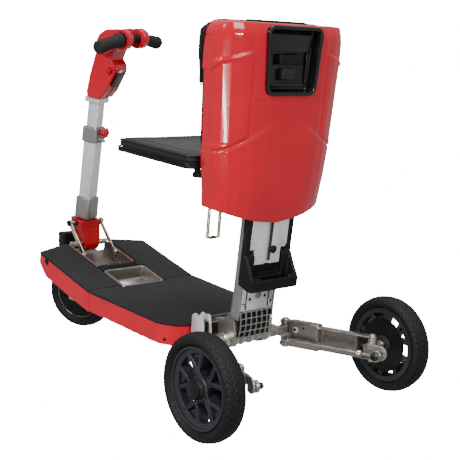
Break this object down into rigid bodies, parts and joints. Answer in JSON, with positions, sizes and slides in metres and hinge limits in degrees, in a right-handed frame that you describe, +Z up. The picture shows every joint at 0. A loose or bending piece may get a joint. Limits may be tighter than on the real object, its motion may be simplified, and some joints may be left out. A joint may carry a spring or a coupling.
{
  "type": "folding mobility scooter",
  "caption": "Three-wheeled folding mobility scooter with a low two-part deck, a steering tiller with grips, a seat with a shell back on a post, and splayed rear arms.",
  "frame": {"origin": "on the floor, under the middle of the bounding box", "axes": "+Z up, -Y forward (the way the rider faces), +X to the rider's left"},
  "size_m": [0.567, 1.0589, 0.7908],
  "materials": {
    "red_paint": "gloss",
    "red_casting": "satin",
    "black_rubber": "matt",
    "tyre_rubber": "matt",
    "black_plastic": "satin",
    "grey_plastic": "satin",
    "seat_vinyl": "satin",
    "bright_aluminium": "satin",
    "cast_aluminium": "as cast",
    "bronze_aluminium": "satin",
    "zinc_steel": "zinc plated",
    "dark_glass": "gloss"
  },
  "bodies": {
    "rear_frame": {"rear_deck_pan": "red_paint", "rear_deck_mat": "black_rubber", "deck_hinge_pin": "zinc_steel", "cross_tube": "cast_aluminium", "latch_lug_left": "bright_aluminium", "latch_lug_right": "bright_aluminium"},
    "front_deck": {"front_deck_pan": "red_paint", "front_deck_mat_left": "black_rubber", "front_deck_mat_right": "black_rubber", "storage_tray": "cast_aluminium", "tiller_trough": "cast_aluminium", "trough_crossbar": "black_plastic", "steering_head": "cast_aluminium", "nose_box": "black_plastic"},
    "tiller_base": {"tiller_base": "red_casting"},
    "brace_left": {"brace_link_left": "zinc_steel"},
    "brace_right": {"brace_link_right": "zinc_steel"},
    "column": {"steering_collar": "cast_aluminium", "lower_column_tube": "bright_aluminium", "column_clamp": "cast_aluminium"},
    "clamp_knob": {"clamp_knob": "red_paint"},
    "upper_column": {"upper_column_tube": "bright_aluminium", "tiller_head": "red_paint", "handlebar": "black_plastic", "grip_left": "black_rubber", "grip_right": "black_rubber", "display_panel": "dark_glass"},
    "horn_button": {"horn_button": "bright_aluminium"},
    "throttle_lever": {"throttle_lever": "black_plastic"},
    "front_fork": {"front_fork": "cast_aluminium"},
    "front_wheel": {"front_tyre": "tyre_rubber", "hub_motor": "black_plastic"},
    "seat_post": {"seat_post": "cast_aluminium", "post_plate": "bright_aluminium", "post_grille": "black_plastic", "seat_rail": "bright_aluminium", "battery_cradle": "black_plastic"},
    "rail_button": {"rail_button": "black_plastic"},
    "back": {"back_shell": "red_paint", "back_pad": "seat_vinyl", "back_panel": "black_plastic", "handle_frame": "black_plastic", "seat_bracket": "black_plastic"},
    "seat": {"seat_board": "black_plastic", "seat_cushion": "seat_vinyl"},
    "pull_handle": {"pull_handle": "black_plastic"},
    "release_latch": {"release_latch": "grey_plastic"},
    "wire_loop": {"wire_loop": "zinc_steel"},
    "rear_arm_left": {"rear_arm_left": "bronze_aluminium"},
    "rear_arm_right": {"rear_arm_right": "bronze_aluminium"},
    "link_rod_left": {"link_rod_left": "zinc_steel"},
    "link_rod_right": {"link_rod_right": "zinc_steel"},
    "wheel_carrier_left": {"wheel_carrier_left": "cast_aluminium"},
    "wheel_carrier_right": {"wheel_carrier_right": "cast_aluminium"},
    "rear_wheel_left": {"rear_tyre_left": "tyre_rubber", "rear_rim_left": "black_plastic", "hub_cap_left": "black_plastic"},
    "rear_wheel_right": {"rear_tyre_right": "tyre_rubber", "rear_rim_right": "black_plastic", "hub_cap_right": "black_plastic"}
  },
  "joints": [
    {"name": "deck_fold", "type": "hinge", "parent": "rear_frame", "child": "front_deck", "pos_m": [0, -0.1445, 0.1105], "axis": [1, 0, 0], "range_deg": [0, 80]},
    {"name": "tiller_fold", "type": "hinge", "parent": "front_deck", "child": "tiller_base", "pos_m": [0, -0.3945, 0.236], "axis": [1, 0, 0], "range_deg": [-25, 0]},
    {"name": "brace_swing_left", "type": "hinge", "parent": "tiller_base", "child": "brace_left", "pos_m": [0.0465, -0.41084, 0.28951], "axis": [1, 0, 0], "range_deg": [0, 25]},
    {"name": "brace_swing_right", "type": "hinge", "parent": "tiller_base", "child": "brace_right", "pos_m": [-0.0465, -0.41084, 0.28951], "axis": [1, 0, 0], "range_deg": [0, 25]},
    {"name": "steer", "type": "hinge", "parent": "tiller_base", "child": "column", "pos_m": [0, -0.3835, 0.437], "axis": [0, 0.1822, 0.9833], "range_deg": [-69, 21]},
    {"name": "knob_turn", "type": "hinge", "parent": "column", "child": "clamp_knob", "pos_m": [-0.0122, -0.33869, 0.52836], "axis": [-0.4067, 0.8982, -0.1665], "range_deg": [0, 90]},
    {"name": "tiller_height", "type": "slide", "parent": "column", "child": "upper_column", "axis": [0, 0.1822, 0.9833], "range_m": [-0.06, 0.05]},
    {"name": "horn_press", "type": "slide", "parent": "upper_column", "child": "horn_button", "axis": [-0.9135, -0.3999, 0.0741], "range_m": [0, 0.0018], "stiffness_N_per_m": 300},
    {"name": "throttle_pull", "type": "hinge", "parent": "upper_column", "child": "throttle_lever", "pos_m": [-0.05678, -0.29225, 0.75571], "axis": [0, 0.1822, 0.9833], "range_deg": [-8, 0], "stiffness_Nm_per_rad": 0.2},
    {"name": "fork_steer", "type": "hinge", "parent": "front_deck", "child": "front_fork", "pos_m": [0, -0.3835, 0.437], "axis": [0, 0.1822, 0.9833], "range_deg": [-69, 21]},
    {"name": "front_wheel_spin", "type": "hinge", "parent": "front_fork", "child": "front_wheel", "pos_m": [-0.0039, -0.43832, 0.09315], "axis": [0.9135, 0.3999, -0.0741], "continuous": true},
    {"name": "post_fold", "type": "hinge", "parent": "rear_frame", "child": "seat_post", "pos_m": [0, 0.2425, 0.122], "axis": [1, 0, 0], "range_deg": [0, 25]},
    {"name": "rail_button_press", "type": "slide", "parent": "seat_post", "child": "rail_button", "axis": [0, -0.9903, 0.1392], "range_m": [0, 0.0018], "stiffness_N_per_m": 300},
    {"name": "back_height", "type": "slide", "parent": "seat_post", "child": "back", "axis": [0, 0.1392, 0.9903], "range_m": [-0.006, 0.04]},
    {"name": "seat_flip", "type": "hinge", "parent": "back", "child": "seat", "pos_m": [0, 0.271, 0.5225], "axis": [1, 0, 0], "range_deg": [-70, 0]},
    {"name": "handle_pull", "type": "slide", "parent": "back", "child": "pull_handle", "axis": [0, 0.9952, -0.0976], "range_m": [0, 0.01], "stiffness_N_per_m": 300},
    {"name": "latch_slide", "type": "slide", "parent": "back", "child": "release_latch", "axis": [0, 0.0976, 0.9952], "range_m": [0, 0.004], "stiffness_N_per_m": 300},
    {"name": "wire_loop_swing", "type": "hinge", "parent": "back", "child": "wire_loop", "pos_m": [0.099, 0.26152, 0.43669], "axis": [1, 0, 0], "range_deg": [-30, 5]},
    {"name": "arm_fold_left", "type": "hinge", "parent": "rear_frame", "child": "rear_arm_left", "pos_m": [0.122, 0.2425, 0.112], "axis": [0, 0, 1], "range_deg": [0, 9]},
    {"name": "link_swing_left", "type": "hinge", "parent": "rear_frame", "child": "link_rod_left", "pos_m": [0.10442, 0.26879, 0.102], "axis": [0, 0, 1], "range_deg": [0, 9]},
    {"name": "carrier_turn_left", "type": "hinge", "parent": "rear_arm_left", "child": "wheel_carrier_left", "pos_m": [0.18457, 0.44715, 0.112], "axis": [0, 0, 1], "range_deg": [-9, 0]},
    {"name": "rear_wheel_spin_left", "type": "hinge", "parent": "wheel_carrier_left", "child": "rear_wheel_left", "pos_m": [0.256, 0.4275, 0.105], "axis": [1, 0, 0], "continuous": true},
    {"name": "arm_fold_right", "type": "hinge", "parent": "rear_frame", "child": "rear_arm_right", "pos_m": [-0.122, 0.2425, 0.112], "axis": [0, 0, 1], "range_deg": [-9, 0]},
    {"name": "link_swing_right", "type": "hinge", "parent": "rear_frame", "child": "link_rod_right", "pos_m": [-0.10442, 0.26879, 0.102], "axis": [0, 0, 1], "range_deg": [-9, 0]},
    {"name": "carrier_turn_right", "type": "hinge", "parent": "rear_arm_right", "child": "wheel_carrier_right", "pos_m": [-0.18457, 0.44715, 0.112], "axis": [0, 0, 1], "range_deg": [0, 9]},
    {"name": "rear_wheel_spin_right", "type": "hinge", "parent": "wheel_carrier_right", "child": "rear_wheel_right", "pos_m": [-0.256, 0.4275, 0.105], "axis": [1, 0, 0], "continuous": true}
  ],
  "couplings": [
    {"joint": "brace_swing_left", "follows": "tiller_fold", "ratio": -1},
    {"joint": "brace_swing_right", "follows": "tiller_fold", "ratio": -1},
    {"joint": "fork_steer", "follows": "steer", "ratio": 1},
    {"joint": "arm_fold_right", "follows": "arm_fold_left", "ratio": -1},
    {"joint": "link_swing_left", "follows": "arm_fold_left", "ratio": 1},
    {"joint": "link_swing_right", "follows": "arm_fold_left", "ratio": -1},
    {"joint": "carrier_turn_left", "follows": "arm_fold_left", "ratio": -1},
    {"joint": "carrier_turn_right", "follows": "arm_fold_left", "ratio": 1}
  ]
}
